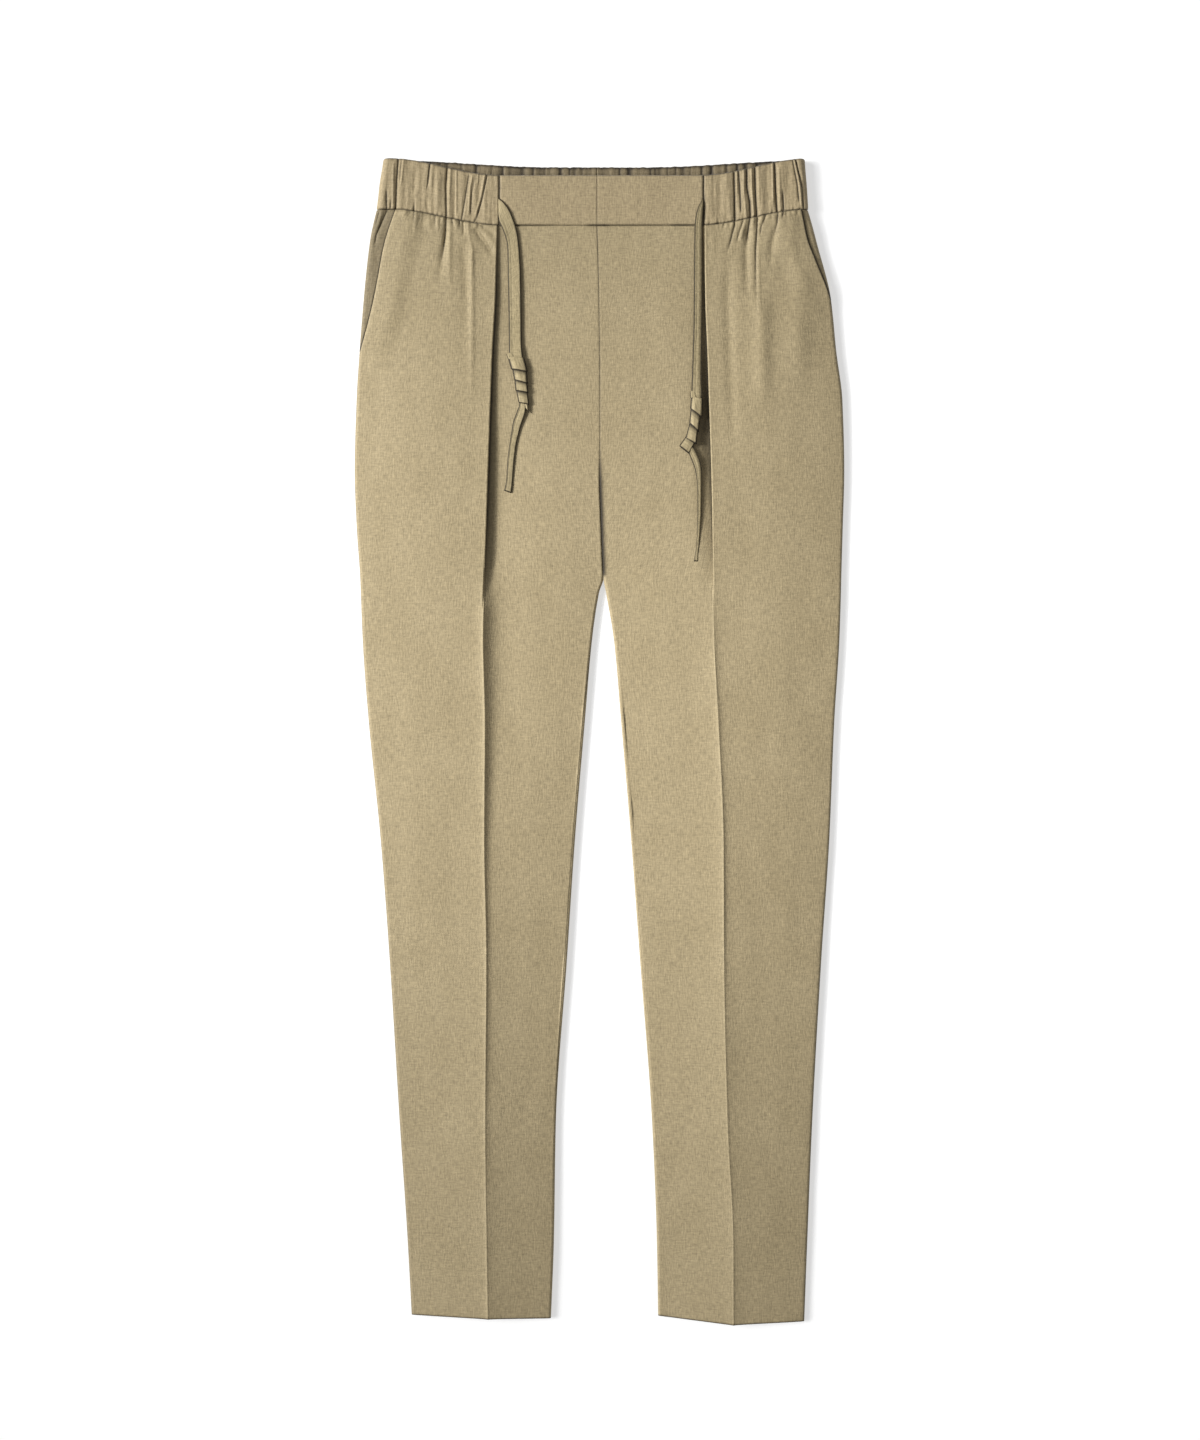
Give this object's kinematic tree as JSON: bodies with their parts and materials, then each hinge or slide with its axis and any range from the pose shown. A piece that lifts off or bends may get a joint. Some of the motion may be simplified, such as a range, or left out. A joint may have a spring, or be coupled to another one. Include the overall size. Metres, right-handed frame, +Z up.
{
  "type": "pull-on trousers",
  "caption": "Full-length tapered pull-on trousers laid flat, front up, with an elasticated waist, front pleats that become pressed creases, slanted pockets and knotted drawstrings.",
  "frame": {"origin": "on the surface that the trousers lie on, under the middle of their outline", "axes": "+Z up off the surface, out of the front of the garment; +Y from the hems to the waist; +X to the wearer's left"},
  "size_m": [0.4278, 1.0194, 0.0169],
  "materials": {
    "satin_crepe": "soft satin face, fine crepe texture",
    "satin_crepe_waistband": "soft satin face, gathered over elastic",
    "satin_crepe_cord": "soft satin face, folded and stitched into a flat tape"
  },
  "bodies": {
    "root": {"front_right": "satin_crepe", "back_right": "satin_crepe", "pocket_facing_right": "satin_crepe", "waistband_front_right": "satin_crepe_waistband", "waistband_elastic_right": "satin_crepe_waistband", "drawstring_right": "satin_crepe_cord", "drawstring_knot_right": "satin_crepe_cord", "drawstring_tail_right": "satin_crepe_cord", "front_left": "satin_crepe", "back_left": "satin_crepe", "pocket_facing_left": "satin_crepe", "waistband_front_left": "satin_crepe_waistband", "waistband_elastic_left": "satin_crepe_waistband", "drawstring_left": "satin_crepe_cord", "drawstring_knot_left": "satin_crepe_cord", "drawstring_tail_left": "satin_crepe_cord"}
  },
  "joints": []
}
